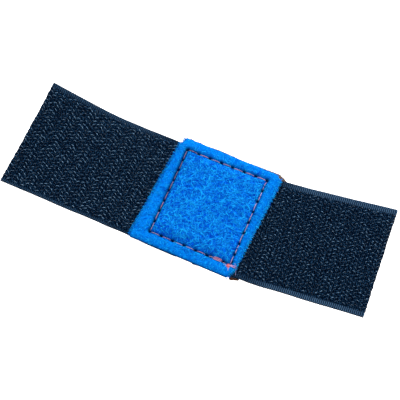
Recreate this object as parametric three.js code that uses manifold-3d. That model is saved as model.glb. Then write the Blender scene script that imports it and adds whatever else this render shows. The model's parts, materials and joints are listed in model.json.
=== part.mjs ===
// Hook-and-loop closure strap of a hand wrap: two hook tape wings, sewn between a blue loop patch
// and a tan backing patch. Millimetres. +X runs along the strap towards the right wing, +Y across
// it and +Z up, out of the hooks. The origin is the patch's centre, on the backing's underside.
//
// Each wing is one bendable tape. It is built as four stiff bands with a hinge line between each
// two, so that it can curl: hooks inwards as the hinges turn positive, hooks outwards negative.
import * as THREE from "three";
import { mergeVertices } from "three/addons/utils/BufferGeometryUtils.js";
import Module from "manifold-3d";

const wasm = await Module();
wasm.setup();

// Hook tape: a woven ground with a thicker selvage along both edges, and rows of hooks between.
const TAPE_WIDTH = 50;
const TAPE_THICKNESS = 0.8;
const SELVAGE_WIDTH = 2.6;
const SELVAGE_THICKNESS = 1.0;
const SELVAGE_SLOPE = 0.4;
const HOOK_ROW_PITCH = 1.84;
const HOOK_ROOT = 0.3;
const HOOK_HEIGHT = 1.4;
const CRUSHED_HOOK_HEIGHT = 0.5;
const HOOK_LEAN = 0.65;

// Loop patch, and the backing patch that stands out past it on the right and at the top.
const PATCH = { left: -23, right: 23, bottom: -26.6, top: 26.6 };
const PATCH_CUTS = {
  bottomLeft: [0.8, 0.8],
  bottomRight: [1.2, 4.2],
  topRight: [1.8, 1.6],
  topLeft: [1.4, 4.0],
};
const LOOP_GROUND_THICKNESS = 0.4;
const PILE_THICKNESS = 1.0;
const PILE_EDGE_ROUND = 0.35;
const BACKING = { left: -22.6, right: 26.4, bottom: -26.0, top: 28.6 };
const BACKING_CUTS = {
  bottomLeft: [1, 1],
  bottomRight: [3.8, 1.6],
  topRight: [5.4, 2.4],
  topLeft: [2, 2],
};
const BACKING_THICKNESS = 0.9;

// The plies lie on one another with this much air between them.
const PLY_GAP = 0.1;
const TAPE_Z = BACKING_THICKNESS + PLY_GAP;
const HOOKS_Z = TAPE_Z + TAPE_THICKNESS + PLY_GAP;
const LOOP_GROUND_Z = HOOKS_Z + CRUSHED_HOOK_HEIGHT + PLY_GAP;
const PILE_Z = LOOP_GROUND_Z + LOOP_GROUND_THICKNESS + PLY_GAP;
const PILE_TOP = PILE_Z + PILE_THICKNESS;

// Wings: length is from the patch's side edge to the cut end, skew is how far the tape is sewn
// askew, tuck is how far the tape reaches under the patch, and firstHinge is where it starts to curl.
const BANDS = 4;
const LEFT_WING = { name: "left", length: 61.4, offset: -0.6, skew: 0, tuck: 21.5, firstHinge: 4.0 };
const RIGHT_WING = { name: "right", length: 53.3, offset: 0.4, skew: 6.8, tuck: 20, firstHinge: 7.0 };
const HINGE_Z = TAPE_Z + TAPE_THICKNESS / 2;
const MOST_CURL = 36;
const TAPE_HINGE_GAP = 0.2;
// Hook tips lean across the hinge line as it curls, by their height times the half angle's tangent.
const HOOK_TIP_Z = HOOKS_Z + HOOK_HEIGHT;
const HOOK_TIP_LEAN = (HOOK_TIP_Z - HINGE_Z) * Math.tan(THREE.MathUtils.degToRad(MOST_CURL / 2));
const HOOK_TIP_GAP = 0.1;
const HOOK_HINGE_GAP = HOOK_TIP_GAP + HOOK_TIP_LEAN;
const PATCH_EDGE_GAP = 0.3;

// Seam: a box of lockstitches, slightly askew on the patch, from the bottom right corner round.
const SEAM_CORNERS = [[20.8, -20.9], [17.9, 22.1], [-19.0, 21.4], [-16.0, -21.0]];
const STITCH_PITCH = 5.3;
const NEEDLE_THREAD_RADIUS = 0.25;
const BOBBIN_THREAD_RADIUS = 0.2;
const THREAD_SIDES = 6;
const NEEDLE_HOLE = { length: 1.7, width: 0.9 };
const LOOP_HALF_WIDTH = 0.38;
const LOOP_LEG_SHARE = 0.35;
const SHOULDER = 0.75;
const CHANNEL_WIDTH = 1.1;
const PILE_CHANNEL_DEPTH = 0.65;
const BACKING_CHANNEL_DEPTH = 0.5;
const NEEDLE_THREAD_Z = PILE_TOP - NEEDLE_THREAD_RADIUS;
const NEEDLE_LOOP_Z = 2.15;
const BOBBIN_THREAD_Z = BOBBIN_THREAD_RADIUS + 0.02;
const BOBBIN_LOOP_Z = 1.45;

// Corner tack: a few short stitches crossing at the seam's bottom right corner, and a cut thread end.
const TACK_ARMS = 4;
const TACK_ARM_LENGTH = 3.4;
const TACK_ARM_RISE = 0.15;
const TACK_Z = PILE_TOP + NEEDLE_THREAD_RADIUS + 0.1;
const TACK_FIRST_ANGLE = 16;
const TACK_DIP_RADIUS = 2;
const TACK_DIP_SIDES = 24;
const TAIL_DROP = 0.45;
const TAIL = [
  [0, 0, 0],
  [1.6, 0.1, 0],
  [2.8, -0.5, -TAIL_DROP / 2],
  [4.2, -2.2, -TAIL_DROP],
  [5.0, -4.2, -TAIL_DROP],
];

// Cutters stand this far past the faces they cut.
const OVERCUT = 1;

const HOOK_TAPE_MATERIAL = new THREE.MeshStandardMaterial({ color: 0x122437, roughness: 0.75 });
const HOOK_MATERIAL = new THREE.MeshStandardMaterial({ color: 0x26384f, roughness: 0.4 });
const LOOP_GROUND_MATERIAL = new THREE.MeshStandardMaterial({ color: 0x075fb4, roughness: 0.9 });
const PILE_MATERIAL = new THREE.MeshStandardMaterial({ color: 0x077ae7, roughness: 1.0 });
const BACKING_MATERIAL = new THREE.MeshStandardMaterial({ color: 0x7a6a5c, roughness: 0.95 });
const THREAD_MATERIAL = new THREE.MeshStandardMaterial({ color: 0xe6826e, roughness: 0.6 });

const wrap = new THREE.Group();

function solidOf(geometry) {
  const bare = geometry.index ? geometry.toNonIndexed() : geometry.clone();
  bare.deleteAttribute("normal");
  bare.deleteAttribute("uv");
  const merged = mergeVertices(bare, 1e-4);
  return new wasm.Manifold(new wasm.Mesh({
    numProp: 3,
    vertProperties: new Float32Array(merged.attributes.position.array),
    triVerts: new Uint32Array(merged.index.array),
  }));
}

function geometryOf(solid) {
  const mesh = solid.getMesh();
  const geometry = new THREE.BufferGeometry();
  geometry.setAttribute("position", new THREE.BufferAttribute(mesh.vertProperties, mesh.numProp));
  geometry.setIndex(new THREE.BufferAttribute(mesh.triVerts, 1));
  geometry.computeVertexNormals();
  return geometry;
}

function addMesh(parent, name, geometry, material) {
  const mesh = new THREE.Mesh(geometry, material);
  mesh.name = name;
  parent.add(mesh);
}

// A rectangle with each corner cut off by [across, along] millimetres.
function cutCornerOutline(box, cuts) {
  const shape = new THREE.Shape();
  shape.moveTo(box.left, box.bottom + cuts.bottomLeft[1]);
  shape.lineTo(box.left + cuts.bottomLeft[0], box.bottom);
  shape.lineTo(box.right - cuts.bottomRight[0], box.bottom);
  shape.lineTo(box.right, box.bottom + cuts.bottomRight[1]);
  shape.lineTo(box.right, box.top - cuts.topRight[1]);
  shape.lineTo(box.right - cuts.topRight[0], box.top);
  shape.lineTo(box.left + cuts.topLeft[0], box.top);
  shape.lineTo(box.left, box.top - cuts.topLeft[1]);
  shape.closePath();
  return shape;
}

function slab(shape, bottom, thickness) {
  const geometry = new THREE.ExtrudeGeometry(shape, { depth: thickness, bevelEnabled: false });
  return geometry.translate(0, 0, bottom);
}

// The same, with its top and bottom rims rounded off inside the outline.
function roundedSlab(shape, bottom, thickness, round) {
  const geometry = new THREE.ExtrudeGeometry(shape, {
    depth: thickness - 2 * round,
    bevelThickness: round,
    bevelSize: round,
    bevelOffset: -round,
    bevelSegments: 2,
  });
  return geometry.translate(0, 0, bottom + round);
}

// --- seam -----------------------------------------------------------------------------------

// Needle holes in sewing order, each with the directions in which the seam arrives and leaves.
function needleHoles() {
  const corners = SEAM_CORNERS.map(([x, y]) => new THREE.Vector2(x, y));
  const holes = [];
  corners.forEach((corner, side) => {
    const next = corners[(side + 1) % corners.length];
    const before = corners[(side + corners.length - 1) % corners.length];
    const along = next.clone().sub(corner).normalize();
    const stitches = Math.round(corner.distanceTo(next) / STITCH_PITCH);
    for (let i = 0; i < stitches; i++) {
      const arrives = i === 0 ? corner.clone().sub(before).normalize() : along;
      holes.push({ point: corner.clone().lerp(next, i / stitches), arrives, leaves: along });
    }
  });
  return holes;
}

// A bar that stands through every ply at one needle hole. A corner has one along each of its sides.
function needleHoleBar(hole) {
  const height = PILE_TOP + 2 * OVERCUT;
  const alongSeam = (direction) => {
    const bar = new THREE.BoxGeometry(NEEDLE_HOLE.length, NEEDLE_HOLE.width, height);
    bar.rotateZ(Math.atan2(direction.y, direction.x));
    return solidOf(bar.translate(hole.point.x, hole.point.y, height / 2 - OVERCUT));
  };
  const bar = alongSeam(hole.leaves);
  return hole.arrives === hole.leaves ? bar : bar.add(alongSeam(hole.arrives));
}

// The trench that the pulled-in stitches press along the seam.
function seamChannel(bottom, depth) {
  const corners = SEAM_CORNERS.map(([x, y]) => new THREE.Vector2(x, y));
  const middle = corners.reduce((sum, corner) => sum.add(corner), new THREE.Vector2()).divideScalar(4);
  const offsetCorners = (distance) => corners.map((corner) => {
    const outwards = new THREE.Vector2(Math.sign(corner.x - middle.x), Math.sign(corner.y - middle.y));
    return corner.clone().addScaledVector(outwards, distance);
  });
  const ring = new THREE.Shape(offsetCorners(CHANNEL_WIDTH / 2));
  ring.holes.push(new THREE.Path(offsetCorners(-CHANNEL_WIDTH / 2)));
  return slab(ring, bottom, depth);
}

// A curve that is drawn through exactly its own points.
class ThreadCurve extends THREE.CatmullRomCurve3 {
  getPointAt(u, target) {
    return this.getPoint(u, target);
  }

  getTangentAt(u, target) {
    return this.getTangent(u, target);
  }

  getSpacedPoints(divisions) {
    return this.getPoints(divisions);
  }
}

function threadAlong(points, radius) {
  const section = new THREE.Shape();
  section.absarc(0, 0, radius, 0, 2 * Math.PI);
  return new THREE.ExtrudeGeometry(section, {
    extrudePath: new ThreadCurve(points, false, "catmullrom", 0.3),
    steps: points.length - 1,
    curveSegments: THREAD_SIDES / 2,
  });
}

// One thread of the lockstitch: it lies flat at flatZ and turns back in every hole at loopZ.
function seamThread(holes, flatZ, loopZ, radius) {
  const at = (hole, direction, along, z) =>
    new THREE.Vector3(hole.point.x + direction.x * along, hole.point.y + direction.y * along, z);
  const legZ = loopZ + LOOP_LEG_SHARE * (flatZ - loopZ);
  const points = [];
  const goIn = (hole) => {
    points.push(at(hole, hole.arrives, -SHOULDER, flatZ));
    points.push(at(hole, hole.arrives, -LOOP_HALF_WIDTH, legZ));
  };
  const comeOut = (hole) => {
    points.push(at(hole, hole.leaves, LOOP_HALF_WIDTH, legZ));
    points.push(at(hole, hole.leaves, SHOULDER, flatZ));
  };
  holes.forEach((hole, i) => {
    if (i > 0) goIn(hole);
    points.push(at(hole, hole.leaves, 0, loopZ));
    comeOut(hole);
  });
  goIn(holes[0]);
  return threadAlong(points, radius);
}

// Short stitches that cross one another at the corner, and the thread end that was left on.
function cornerTack() {
  const [x, y] = SEAM_CORNERS[0];
  let tack = solidOf(threadAlong(
    TAIL.map(([dx, dy, dz]) => new THREE.Vector3(x + dx, y + dy, TACK_Z + dz)),
    BOBBIN_THREAD_RADIUS,
  ));
  for (let i = 0; i < TACK_ARMS; i++) {
    const angle = THREE.MathUtils.degToRad(TACK_FIRST_ANGLE + (i * 180) / TACK_ARMS);
    const along = new THREE.Vector3(Math.cos(angle), Math.sin(angle), 0);
    const points = [-1, -0.5, 0, 0.5, 1].map((t) => {
      const point = new THREE.Vector3(x, y, TACK_Z + TACK_ARM_RISE * (1 - t * t));
      return point.addScaledVector(along, (t * TACK_ARM_LENGTH) / 2);
    });
    tack = tack.add(solidOf(threadAlong(points, NEEDLE_THREAD_RADIUS)));
  }
  return tack;
}

// The hollow that the tack presses into the pile.
function tackDip(bottom, depth) {
  const [x, y] = SEAM_CORNERS[0];
  const dip = new THREE.CylinderGeometry(TACK_DIP_RADIUS, TACK_DIP_RADIUS, depth, TACK_DIP_SIDES);
  return dip.rotateX(Math.PI / 2).translate(x, y, bottom + depth / 2);
}

// --- hook tape --------------------------------------------------------------------------------

// Sweeps a cross-section, drawn across the tape and up, along the tape from one place to another.
function sweepAlongTape(section, from, to) {
  const geometry = new THREE.ExtrudeGeometry(section, {
    depth: to - from,
    bevelEnabled: false,
    curveSegments: 3,
  });
  const turn = new THREE.Matrix4().makeBasis(
    new THREE.Vector3(0, 1, 0),
    new THREE.Vector3(0, 0, 1),
    new THREE.Vector3(1, 0, 0),
  );
  return geometry.applyMatrix4(turn).translate(from, 0, 0);
}

function tapeSection() {
  const edge = TAPE_WIDTH / 2 - SELVAGE_THICKNESS / 2;
  const selvage = TAPE_WIDTH / 2 - SELVAGE_WIDTH;
  const middle = TAPE_Z + SELVAGE_THICKNESS / 2;
  const section = new THREE.Shape();
  section.moveTo(-edge, TAPE_Z);
  section.lineTo(edge, TAPE_Z);
  section.absarc(edge, middle, SELVAGE_THICKNESS / 2, -Math.PI / 2, Math.PI / 2);
  section.lineTo(selvage, TAPE_Z + SELVAGE_THICKNESS);
  section.lineTo(selvage - SELVAGE_SLOPE, TAPE_Z + TAPE_THICKNESS);
  section.lineTo(SELVAGE_SLOPE - selvage, TAPE_Z + TAPE_THICKNESS);
  section.lineTo(-selvage, TAPE_Z + SELVAGE_THICKNESS);
  section.lineTo(-edge, TAPE_Z + SELVAGE_THICKNESS);
  section.absarc(-edge, middle, SELVAGE_THICKNESS / 2, Math.PI / 2, (3 * Math.PI) / 2);
  return section;
}

// One ridge for each lengthwise row of hooks, leaning the way the hooks bend over.
function hookSection(height) {
  const field = TAPE_WIDTH - 2 * (SELVAGE_WIDTH + SELVAGE_SLOPE + PLY_GAP);
  const rows = Math.floor(field / HOOK_ROW_PITCH);
  const start = (-rows * HOOK_ROW_PITCH) / 2;
  const section = new THREE.Shape();
  section.moveTo(start, HOOKS_Z);
  for (let row = 0; row < rows; row++) {
    const foot = start + row * HOOK_ROW_PITCH;
    section.lineTo(foot, HOOKS_Z + HOOK_ROOT);
    section.lineTo(foot + HOOK_LEAN * HOOK_ROW_PITCH, HOOKS_Z + height);
  }
  section.lineTo(-start, HOOKS_Z + HOOK_ROOT);
  section.lineTo(-start, HOOKS_Z);
  return section;
}

// The tape's own frame: X runs outwards from the patch's side edge along the tape.
function placeTape(group, wing) {
  const outwards = wing.name === "left" ? Math.PI : 0;
  group.position.set(wing.name === "left" ? PATCH.left : PATCH.right, wing.offset, 0);
  group.rotation.z = outwards + THREE.MathUtils.degToRad(wing.skew);
  group.updateMatrixWorld(true);
  return group;
}

function addWingBands(wing) {
  const tape = placeTape(new THREE.Group(), wing);
  const bandLength = (wing.length - wing.firstHinge) / BANDS;
  for (let band = 0; band < BANDS; band++) {
    const from = wing.firstHinge + band * bandLength;
    const to = from + bandLength;
    const last = band === BANDS - 1;
    const sweep = (section, gap) => sweepAlongTape(section, from + gap, last ? to : to - gap);
    const ground = sweep(tapeSection(), TAPE_HINGE_GAP);
    const hooks = sweep(hookSection(HOOK_HEIGHT), HOOK_HINGE_GAP);
    addMesh(tape, `${wing.name}_tape_band_${band + 1}`, ground, HOOK_TAPE_MATERIAL);
    addMesh(tape, `${wing.name}_hook_band_${band + 1}`, hooks, HOOK_MATERIAL);
  }
  wrap.add(tape);
}

// The end of a tape that is sewn down, with its hooks crushed wherever the patch covers them.
function addSewnEnd(wing, cutHoles) {
  const frame = placeTape(new THREE.Group(), wing).matrixWorld;
  const placed = (geometry) => solidOf(geometry.applyMatrix4(frame));
  const ground = placed(sweepAlongTape(tapeSection(), -wing.tuck, wing.firstHinge - TAPE_HINGE_GAP));
  const hookEnd = wing.firstHinge - HOOK_HINGE_GAP;
  const crushed = placed(sweepAlongTape(hookSection(CRUSHED_HOOK_HEIGHT), -wing.tuck, hookEnd));
  const standing = placed(sweepAlongTape(hookSection(HOOK_HEIGHT), -wing.tuck, hookEnd));
  const covered = new THREE.BoxGeometry(
    PATCH.right - PATCH.left + 2 * PATCH_EDGE_GAP,
    PATCH.top - PATCH.bottom + 2 * PATCH_EDGE_GAP,
    2 * HOOK_HEIGHT,
  ).translate(0, 0, HOOKS_Z);
  const hooks = crushed.add(standing.subtract(solidOf(covered)));
  addMesh(wrap, `${wing.name}_tape_sewn_end`, geometryOf(cutHoles(ground)), HOOK_TAPE_MATERIAL);
  addMesh(wrap, `${wing.name}_tape_sewn_hooks`, geometryOf(cutHoles(hooks)), HOOK_MATERIAL);
}

// --- assembly ---------------------------------------------------------------------------------

const holes = needleHoles();
const allBars = holes.map(needleHoleBar).reduce((sum, bar) => sum.add(bar));
const cutHoles = (solid) => solid.subtract(allBars);

const backing = solidOf(slab(cutCornerOutline(BACKING, BACKING_CUTS), 0, BACKING_THICKNESS));
const backingChannel = solidOf(seamChannel(-OVERCUT, OVERCUT + BACKING_CHANNEL_DEPTH));
addMesh(wrap, "backing_patch", geometryOf(cutHoles(backing.subtract(backingChannel))), BACKING_MATERIAL);

addSewnEnd(LEFT_WING, cutHoles);
addSewnEnd(RIGHT_WING, cutHoles);

const patchOutline = cutCornerOutline(PATCH, PATCH_CUTS);
const loopGround = solidOf(slab(patchOutline, LOOP_GROUND_Z, LOOP_GROUND_THICKNESS));
addMesh(wrap, "loop_patch_ground", geometryOf(cutHoles(loopGround)), LOOP_GROUND_MATERIAL);

const pile = solidOf(roundedSlab(patchOutline, PILE_Z, PILE_THICKNESS, PILE_EDGE_ROUND));
const pressed = [PILE_TOP - PILE_CHANNEL_DEPTH, PILE_CHANNEL_DEPTH + OVERCUT];
const pressedPile = solidOf(seamChannel(...pressed)).add(solidOf(tackDip(...pressed)));
addMesh(wrap, "loop_patch_pile", geometryOf(cutHoles(pile.subtract(pressedPile))), PILE_MATERIAL);

const needleThread = seamThread(holes, NEEDLE_THREAD_Z, NEEDLE_LOOP_Z, NEEDLE_THREAD_RADIUS);
addMesh(wrap, "needle_thread", needleThread, THREAD_MATERIAL);
const bobbinThread = seamThread(holes, BOBBIN_THREAD_Z, BOBBIN_LOOP_Z, BOBBIN_THREAD_RADIUS);
addMesh(wrap, "bobbin_thread", bobbinThread, THREAD_MATERIAL);
addMesh(wrap, "corner_tack_thread", geometryOf(cornerTack()), THREAD_MATERIAL);

addWingBands(LEFT_WING);
addWingBands(RIGHT_WING);

export default wrap;
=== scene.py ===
"""Looks of a hand wrap's closure strap: two hook tape wings sewn between a loop patch and a backing.

Lengths are in metres. A tape is measured by s, outwards along it from the patch's side edge, by w,
across it towards +Y, and by z, up. All else is in the row frame's x, y and z.
"""
import json
import math

import bmesh
import bpy
import numpy as np
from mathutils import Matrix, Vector
from mathutils.bvhtree import BVHTree
from mathutils.geometry import convex_hull_2d

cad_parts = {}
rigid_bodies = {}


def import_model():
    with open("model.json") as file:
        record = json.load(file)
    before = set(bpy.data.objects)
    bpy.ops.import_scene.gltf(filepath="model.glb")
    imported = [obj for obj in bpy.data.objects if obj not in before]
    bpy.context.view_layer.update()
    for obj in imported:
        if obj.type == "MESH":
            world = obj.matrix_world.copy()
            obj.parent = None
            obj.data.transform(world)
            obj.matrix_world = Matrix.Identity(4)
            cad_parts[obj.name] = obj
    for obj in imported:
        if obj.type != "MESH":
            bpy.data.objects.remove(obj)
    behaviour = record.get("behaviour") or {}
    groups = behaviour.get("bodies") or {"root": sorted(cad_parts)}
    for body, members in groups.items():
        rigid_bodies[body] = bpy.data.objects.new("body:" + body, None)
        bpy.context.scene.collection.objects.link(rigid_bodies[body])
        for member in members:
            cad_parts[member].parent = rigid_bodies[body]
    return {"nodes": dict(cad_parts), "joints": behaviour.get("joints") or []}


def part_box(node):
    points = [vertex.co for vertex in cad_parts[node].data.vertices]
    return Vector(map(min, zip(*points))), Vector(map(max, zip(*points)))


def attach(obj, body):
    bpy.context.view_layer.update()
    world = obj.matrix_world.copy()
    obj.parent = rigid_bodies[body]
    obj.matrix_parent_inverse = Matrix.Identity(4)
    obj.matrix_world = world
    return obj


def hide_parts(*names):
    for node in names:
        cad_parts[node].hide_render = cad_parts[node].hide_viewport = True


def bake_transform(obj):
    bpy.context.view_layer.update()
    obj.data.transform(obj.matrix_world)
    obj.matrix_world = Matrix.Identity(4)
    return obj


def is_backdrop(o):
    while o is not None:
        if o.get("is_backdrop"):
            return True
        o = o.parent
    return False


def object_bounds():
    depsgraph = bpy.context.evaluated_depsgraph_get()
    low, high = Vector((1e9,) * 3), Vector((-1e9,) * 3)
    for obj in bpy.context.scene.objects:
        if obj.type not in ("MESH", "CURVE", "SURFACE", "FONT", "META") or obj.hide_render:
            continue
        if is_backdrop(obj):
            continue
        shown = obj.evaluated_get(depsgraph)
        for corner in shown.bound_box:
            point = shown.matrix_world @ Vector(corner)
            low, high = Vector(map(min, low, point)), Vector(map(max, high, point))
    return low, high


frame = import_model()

MM = 0.001
CAD_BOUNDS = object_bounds()
rng = np.random.default_rng(437)


def sided(left, right):
    return {"left": left, "right": right}


# Hook tape. Selvages are the hookless near and far edges; between them the ground is FIELD_DROP
# lower and its weft ribs are shallower.
SELVAGES = sided((1.1 * MM, 2.0 * MM), (2.3 * MM, 2.6 * MM))
SELVAGE_BLUR = 0.2 * MM
# SELVAGE_CONTRAST is how strongly each tape's selvages are painted paler.
SELVAGE_CONTRAST = sided(0.5, 1.0)
RIB_PITCH = 0.83 * MM
RIB_STEPS = 6
RIB_DEPTH = 0.3 * MM
GROUND_RIB_DEPTH = 0.05 * MM
GROUND_COLUMNS = 100
EDGE_COLUMNS = 4
FIELD_DROP = 0.2 * MM
EDGE_WOBBLE = 0.12 * MM
RAGGED_END = 0.2 * MM
END_SPARE = sided(0.0, 0.6 * MM)

# How each tape lies: its near edge drops to the table past the patch and is drawn aside under it,
# and its far outer corner is lifted. FIRST_BEND is how far before the first hinge the first span ends.
TABLE_DROP = sided(0.0, 1.0 * MM)
TABLE_DROP_LENGTH = 5 * MM
SEWN_SHIFT = sided(-0.6 * MM, 0.45 * MM)
SEWN_SHIFT_LENGTH = 8 * MM
LIFT = sided(6.6 * MM, 4.1 * MM)
LIFT_START = sided(27 * MM, 0)
LIFT_LENGTH = sided(34 * MM, 53 * MM)
LIFT_MOST = sided(2, 1)
LIFT_CURVE = sided((1.35, 1.3), (1.3, 1))
FIRST_BEND = 3.6 * MM

# Hooks stand in rows across the tape, headed by ROW_HEADINGS (degrees) in turn.
ROW_PITCH = 1.71 * MM
COLUMN_PITCH = 1.84 * MM
ROW_HEADINGS = (28, 152, -28, 208)
HOOK_DISORDER = sided(math.radians(9), math.radians(12))
ROOT_DISORDER = 0.09 * MM
HOOK_HEIGHT = 1.45 * MM
HOOK_WIDTH = sided(1.45 * MM, 1.2 * MM)
HOOK_END_MARGIN = 0.6 * MM
CUT_FACE_SHINE = 0.95
WIRE_RADIUS = 0.09 * MM
WIRE_SIDES = 6
CRUSHED_SHARE = 0.3
CRUSHED_MARGIN = 0.5 * MM
# The hooks' painted highlights: which rows glint most, how strongly, and how much from ring to ring.
GLOSSY_ROWS = sided(0.6, 0.25)
GLINT = sided(0.92, 0.85)
GLINT_SPREAD = sided(0.12, 0.3)

# Loop patch. CROWN is how far the cloth simulation may raise or lower it.
PATCH_CELL = 0.62 * MM
EDGE_ROLL = 4 * MM
EDGE_DROP = 1.0 * MM
PUFF = 0.35 * MM
PUFF_REACH = 4 * MM
NEAR_TUCK = 0.05 * MM
FAR_SWELL = 0.25 * MM
CROWN = 0.6 * MM
SIM_SCALE = 20
SIM_FRAMES = 24

# The sewn channel, the needle holes, and the painted shade in them and on the cut edge. TACK_HOLES are
# the corner tack's, in millimetres from the corner hole.
CHANNEL_DEPTH = 1.1 * MM
CHANNEL_REACH = 0.62 * MM
CHANNEL_SHADE = 0.72
CHANNEL_SHADE_REACH = 0.5 * MM
HOLE_DEPTH = 0.5 * MM
HOLE_LENGTH = 1.0 * MM
HOLE_REACH = 0.7 * MM
HOLE_SHADE = 1.25
DARKEST = 0.97
TACK_HOLES = ((-8.8, 0.0), (-2.9, 0.1), (0.1, 1.6))
EDGE_SHADE = 0.2
NEAR_EDGE_SHADE = 0.72
EDGE_SHADE_HEIGHT = 0.75 * MM

# Loose fibres: how many are tried, and the steps in one.
FELT_STRANDS, FELT_STEPS = 6500, 13
BRUSHED_STRANDS, BRUSHED_STEPS = 6500, 6
EDGE_STRANDS, EDGE_STEPS = 4200, 5
STRAND_SIDES = 3
TINT_SPREAD = 0.12

# Backing: its near edge is drawn in under the tapes as far as the place where it comes into view.
BACKING_CELL = 0.55 * MM
BACKING_TUCK = 2.0 * MM
BACKING_FAR_TUCK = 0.45 * MM
BACKING_SHOWS_NEAR = 22.3 * MM
BACKING_SHOWS_FAR = 15 * MM

# Thread
THREAD_RADIUS = 0.17 * MM
PLY_RADIUS = 0.09 * MM
TWIST_PITCH = 1.2 * MM

# The corner tack: stitches side by side along the seam, then a star of arms with a knotted middle.
# Places are measured from the corner hole. Arms have a heading and a length in millimetres.
DOUBLED_STITCH = (-8.2 * MM, -3.1 * MM)
DOUBLED_ASIDE = (0.4 * MM, -0.05 * MM, -0.5 * MM)
STAR_MIDDLE = (-0.4 * MM, -1.15 * MM)
STAR_ARMS = ((180, 2.2), (-95, 2.0), (-68, 2.3), (8, 3.1), (24, 3.2), (45, 1.8))
ARM_START = 0.8 * MM
ARM_LAVENDER = 0.7
KNOT_HEADINGS = (-45, -10, 30, 60, 100)
KNOT_REACH = 1.1 * MM
KNOT_LAVENDER = 0.05
TACK_DISORDER = 0.12 * MM

# Where the cut thread end hangs, in millimetres: past the patch, beyond the corner, above the tape.
THREAD_END_DROP = ((0.5, 0.2, 1.5), (1.0, -1.2, 0.6), (1.6, -3.0, 0.3))

LATTICE = 257

PILE_LOW, PILE_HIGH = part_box("loop_patch_pile")
PLY_LOW, PLY_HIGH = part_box("loop_patch_ground")


def srgb(*levels):
    """A display colour, 0 to 255, as the linear colour that a shader takes."""
    shares = [level / 255 for level in levels]
    return (*(v / 12.92 if v <= 0.04045 else ((v + 0.055) / 1.055) ** 2.4 for v in shares), 1.0)


def smoothstep(low, high, value):
    t = np.clip((value - low) / (high - low), 0, 1)
    return t * t * (3 - 2 * t)


def step_at(place, blur, x):
    """Rises smoothly from 0 to 1 within blur of a place."""
    return smoothstep(place - blur, place + blur, x)


def value_noise(x, y, cell, seed):
    """Smooth random heights from -1 to 1 over a plane, with one value per cell corner."""
    lattice = np.random.default_rng(seed).uniform(-1, 1, (LATTICE, LATTICE))
    u, v = np.asarray(x) / cell + 97.3, np.asarray(y) / cell + 61.7
    i, j = np.floor(u).astype(int), np.floor(v).astype(int)
    a, b = smoothstep(0, 1, u - i), smoothstep(0, 1, v - j)

    def corner(di, dj):
        return lattice[(i + di) % LATTICE, (j + dj) % LATTICE]

    low = corner(0, 0) * (1 - a) + corner(1, 0) * a
    high = corner(0, 1) * (1 - a) + corner(1, 1) * a
    return low * (1 - b) + high * b


# --- materials ---

class NodeTree:
    def __init__(self, owner):
        owner.use_nodes = True
        self.tree = owner.node_tree

    def set(self, node, inputs):
        for key, value in inputs.items():
            if isinstance(value, bpy.types.NodeSocket):
                self.tree.links.new(value, node.inputs[key])
            else:
                node.inputs[key].default_value = value

    def node(self, kind, inputs, **settings):
        node = self.tree.nodes.new("ShaderNode" + kind)
        for key, value in settings.items():
            setattr(node, key, value)
        self.set(node, inputs)
        return node


class Shader(NodeTree):
    """A material. Its noises and waves go by cloth_mm, the place on the cloth before it bends."""

    def __init__(self, name, roughness=0.8, specular=0.0):
        self.material = bpy.data.materials.new(name)
        super().__init__(self.material)
        self.surface = self.tree.nodes["Principled BSDF"]
        self.set(self.surface, {"Roughness": roughness, "Specular IOR Level": specular})

    def attribute(self, name, output="Fac"):
        return self.node("Attribute", {}, attribute_name=name).outputs[output]

    def noise(self, scale, detail=2.0, roughness=0.5, stretch=(1, 1, 1)):
        place = self.attribute("cloth_mm", "Vector")
        place = self.node("Mapping", {"Vector": place, "Scale": stretch}).outputs[0]
        inputs = {"Vector": place, "Scale": scale, "Detail": detail, "Roughness": roughness}
        return self.node("TexNoise", inputs).outputs["Fac"]

    def math(self, operation, a, b=0.0):
        return self.node("Math", {0: a, 1: b}, operation=operation).outputs[0]

    def plus(self, a, b, share):
        """a, plus a share of b."""
        return self.math("ADD", a, self.math("MULTIPLY", b, share))

    def ramp(self, value, low, high):
        """value stretched so that low gives 0 and high gives 1."""
        return self.node("MapRange", {"Value": value, "From Min": low, "From Max": high}).outputs[0]

    def mix(self, share, a, b, blend="MIX"):
        inputs = {0: share, 6: a, 7: b}
        return self.node("Mix", inputs, data_type="RGBA", blend_type=blend).outputs[2]

    def shade(self, colour, share, darkest):
        """colour, multiplied by darkest where share is 0 and by white where it is 1."""
        return self.mix(1.0, colour, self.mix(share, darkest, srgb(255, 255, 255)), "MULTIPLY")

    def paint(self, colour):
        self.set(self.surface, {"Base Color": colour})

    def wave(self, axis, pitch):
        """Rounded bumps, 0 to 1, one per pitch (in millimetres) along one cloth axis."""
        place = self.node("SeparateXYZ", {"Vector": self.attribute("cloth_mm", "Vector")})
        turned = self.math("MULTIPLY", place.outputs[axis], math.pi / pitch)
        return self.math("ABSOLUTE", self.math("SINE", turned))

    def bump(self, height, distance):
        node = self.node("Bump", {"Height": height, "Distance": distance, "Strength": 1.0})
        self.set(self.surface, {"Normal": node.outputs["Normal"]})


# The blue that the painted shade on the pile and strands goes to.
SHADE_BLUE = srgb(0, 10, 52)


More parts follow.
